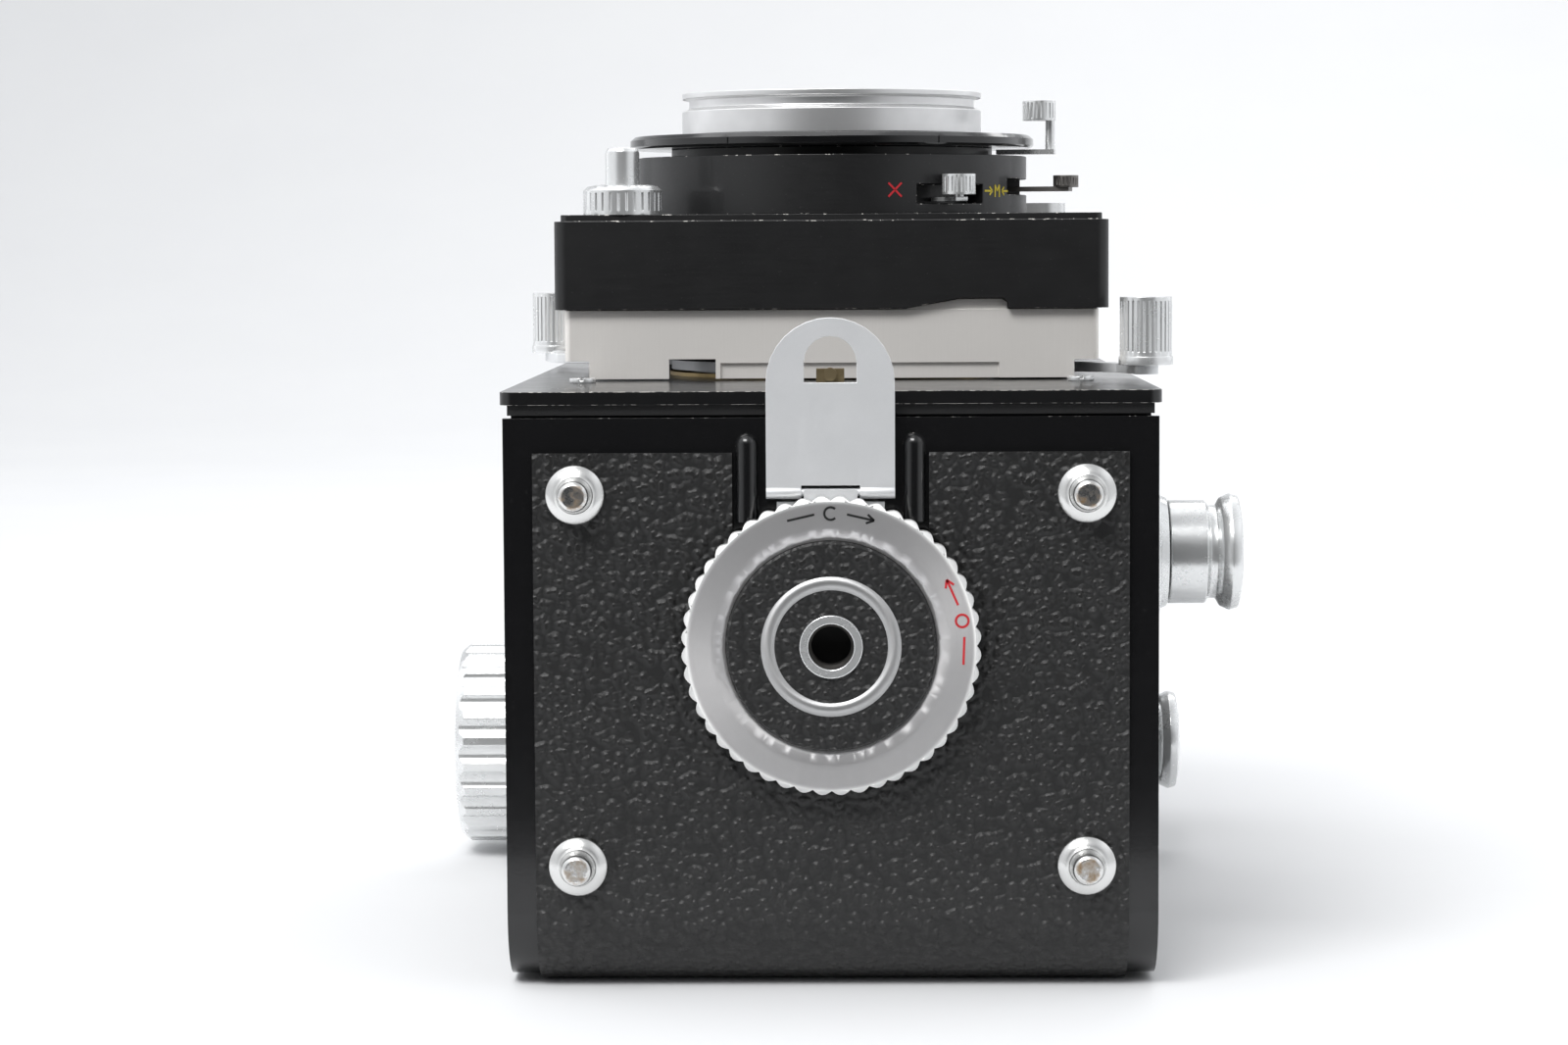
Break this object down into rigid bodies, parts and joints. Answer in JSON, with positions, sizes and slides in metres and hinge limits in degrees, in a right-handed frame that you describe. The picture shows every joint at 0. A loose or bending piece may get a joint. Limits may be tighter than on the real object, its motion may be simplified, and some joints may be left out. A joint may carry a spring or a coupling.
{
  "type": "twin lens reflex camera",
  "caption": "Twin lens reflex film camera on its back, with lever focusing, hinged cover and lock, folding hood, knobs, lens standard and working controls.",
  "frame": {"origin": "on the taking lens axis, on the surface that the back rests on", "axes": "+Z along the optical axis out of the lenses, +Y from the base to the viewing hood, +X to the user's left"},
  "size_m": [0.1013, 0.145, 0.105],
  "materials": {
    "cast_alloy": "black sprayed casting",
    "black_enamel": "gloss black enamel, worn to the metal on its edges",
    "pebbled_leather": "fine pebbled grain",
    "brushed_alloy": "brushed along the lens axis",
    "satin_nickel": "satin",
    "chrome": "polished, lightly worn",
    "brass_stud": "worn",
    "coated_glass": "polished",
    "mirror_glass": "silvered",
    "ground_glass": "ground",
    "blade_steel": "blued",
    "spool_enamel": "black",
    "dial_white": "matt white"
  },
  "bodies": {
    "camera_body": {"body_casting": "cast_alloy", "front_plate": "black_enamel", "side_coverings": "pebbled_leather", "film_gate": "satin_nickel", "mirror_bracket": "black_enamel", "reflex_mirror": "mirror_glass", "focusing_screen": "ground_glass", "hood_base": "black_enamel", "hinge_pins": "satin_nickel", "helicoid_sleeve": "satin_nickel", "knob_escutcheons": "chrome", "strap_lugs": "chrome", "plate_screws": "chrome", "latch_stud": "brass_stud", "counter_window": "coated_glass"},
    "winding": {"winding_knob": "chrome", "take_up_spool": "spool_enamel"},
    "counter": {"counter_dial": "dial_white"},
    "supply_reel": {"supply_spool": "spool_enamel"},
    "supply_pull": {"supply_knob": "chrome"},
    "take_up_pull": {"take_up_knob": "chrome"},
    "roller_low": {"lower_roller": "satin_nickel"},
    "roller_high": {"upper_roller": "satin_nickel"},
    "focusing": {"focus_lever": "satin_nickel", "focus_grips": "chrome"},
    "lens_standard": {"standard_skirt": "brushed_alloy", "front_cover": "black_enamel", "shutter_housing": "black_enamel", "setting_disc": "black_enamel", "taking_lens_rim": "chrome", "taking_front_element": "coated_glass", "taking_rear_element": "coated_glass", "viewing_lens_rim": "chrome", "viewing_front_element": "coated_glass", "viewing_rear_element": "coated_glass", "shutter_blades": "blade_steel", "iris_blades": "blade_steel", "release_collar": "chrome", "sync_socket": "chrome", "release_spring": "satin_nickel"},
    "release": {"release_button": "chrome"},
    "aperture_setting": {"aperture_lever": "chrome"},
    "speed_setting": {"speed_lever": "black_enamel"},
    "sync_setting": {"sync_lever": "chrome"},
    "back_cover": {"back_shell": "black_enamel", "cover_side_lips": "black_enamel", "back_covering": "pebbled_leather", "pressure_plate": "black_enamel", "base_feet": "chrome", "lock_disc": "pebbled_leather", "tripod_bush": "chrome"},
    "cover_lock": {"lock_ring": "satin_nickel"},
    "lock_slide": {"latch_slider": "satin_nickel"},
    "cover_clip": {"latch_clip": "satin_nickel"},
    "hood_top": {"hood_lid": "black_enamel"},
    "flap_left": {"hood_flap_left": "black_enamel"},
    "flap_right": {"hood_flap_right": "black_enamel"},
    "flap_back": {"hood_flap_back": "black_enamel"},
    "magnifier": {"magnifier_frame": "black_enamel", "magnifier_lens": "coated_glass"}
  },
  "joints": [
    {"name": "cover_hinge", "type": "hinge", "parent": "camera_body", "child": "back_cover", "pos_m": [0, 0.0645, 0.0024], "axis": [1, 0, 0], "range_deg": [0, 100]},
    {"name": "lock_turn", "type": "hinge", "parent": "back_cover", "child": "cover_lock", "pos_m": [0, -0.0608, 0.0402], "axis": [0, 1, 0], "range_deg": [0, 60]},
    {"name": "lock_slide", "type": "slide", "parent": "back_cover", "child": "lock_slide", "axis": [0, 0, -1], "range_m": [0, 0.0022]},
    {"name": "clip_swing", "type": "hinge", "parent": "lock_slide", "child": "cover_clip", "pos_m": [0, -0.05895, 0.0576], "axis": [1, 0, 0], "range_deg": [0, 9], "stiffness_Nm_per_rad": 0.05},
    {"name": "winding_turn", "type": "hinge", "parent": "camera_body", "child": "winding", "pos_m": [-0.045, 0.043, 0.0155], "axis": [1, 0, 0], "continuous": true},
    {"name": "counter_turn", "type": "hinge", "parent": "camera_body", "child": "counter", "pos_m": [-0.036, 0.008, 0.046], "axis": [1, 0, 0], "continuous": true},
    {"name": "supply_turn", "type": "hinge", "parent": "camera_body", "child": "supply_reel", "pos_m": [0, -0.0426, 0.0493], "axis": [1, 0, 0], "continuous": true},
    {"name": "supply_pull", "type": "slide", "parent": "camera_body", "child": "supply_pull", "axis": [1, 0, 0], "range_m": [0, 0.006]},
    {"name": "take_up_pull", "type": "slide", "parent": "camera_body", "child": "take_up_pull", "axis": [1, 0, 0], "range_m": [0, 0.006]},
    {"name": "roller_low_turn", "type": "hinge", "parent": "camera_body", "child": "roller_low", "pos_m": [0, -0.0299, 0.0091], "axis": [1, 0, 0], "continuous": true},
    {"name": "roller_high_turn", "type": "hinge", "parent": "camera_body", "child": "roller_high", "pos_m": [0, 0.0299, 0.0091], "axis": [1, 0, 0], "continuous": true},
    {"name": "focus_slide", "type": "slide", "parent": "camera_body", "child": "lens_standard", "axis": [0, 0, 1], "range_m": [0, 0.0065]},
    {"name": "focus_turn", "type": "hinge", "parent": "camera_body", "child": "focusing", "pos_m": [0, 0, 0.07], "axis": [0, 0, 1], "range_deg": [0, 76]},
    {"name": "release_press", "type": "slide", "parent": "lens_standard", "child": "release", "axis": [0, 0, -1], "range_m": [0, 0.002], "stiffness_N_per_m": 250, "deforming": ["release_spring"]},
    {"name": "aperture_turn", "type": "hinge", "parent": "lens_standard", "child": "aperture_setting", "pos_m": [0, 0, 0.097], "axis": [0, 0, 1], "range_deg": [-12, 38]},
    {"name": "speed_turn", "type": "hinge", "parent": "lens_standard", "child": "speed_setting", "pos_m": [0, 0, 0.092], "axis": [0, 0, 1], "range_deg": [-8, 20]},
    {"name": "sync_turn", "type": "hinge", "parent": "lens_standard", "child": "sync_setting", "pos_m": [0, 0, 0.091], "axis": [0, 0, 1], "range_deg": [-7, 11]},
    {"name": "hood_lid_fold", "type": "hinge", "parent": "camera_body", "child": "hood_top", "pos_m": [0, 0.08155, 0.064], "axis": [1, 0, 0], "range_deg": [0, 90]},
    {"name": "flap_left_fold", "type": "hinge", "parent": "camera_body", "child": "flap_left", "pos_m": [-0.0336, 0.0779, 0.035], "axis": [0, 0, 1], "range_deg": [0, 90]},
    {"name": "flap_right_fold", "type": "hinge", "parent": "camera_body", "child": "flap_right", "pos_m": [0.0336, 0.0779, 0.035], "axis": [0, 0, -1], "range_deg": [0, 90]},
    {"name": "flap_back_fold", "type": "hinge", "parent": "camera_body", "child": "flap_back", "pos_m": [0, 0.0762, 0.0062], "axis": [-1, 0, 0], "range_deg": [0, 90]},
    {"name": "magnifier_fold", "type": "hinge", "parent": "hood_top", "child": "magnifier", "pos_m": [0, 0.07935, 0.036], "axis": [-1, 0, 0], "range_deg": [0, 90]}
  ],
  "couplings": [
    {"joint": "lock_slide", "follows": "lock_turn", "m_per_rad": 0.0021},
    {"joint": "counter_turn", "follows": "winding_turn", "ratio": -0.08},
    {"joint": "focus_turn", "follows": "focus_slide", "rad_per_m": 204},
    {"joint": "flap_left_fold", "follows": "hood_lid_fold", "ratio": 1},
    {"joint": "flap_right_fold", "follows": "hood_lid_fold", "ratio": 1},
    {"joint": "flap_back_fold", "follows": "hood_lid_fold", "ratio": 1},
    {"joint": "magnifier_fold", "follows": "hood_lid_fold", "ratio": 1}
  ]
}
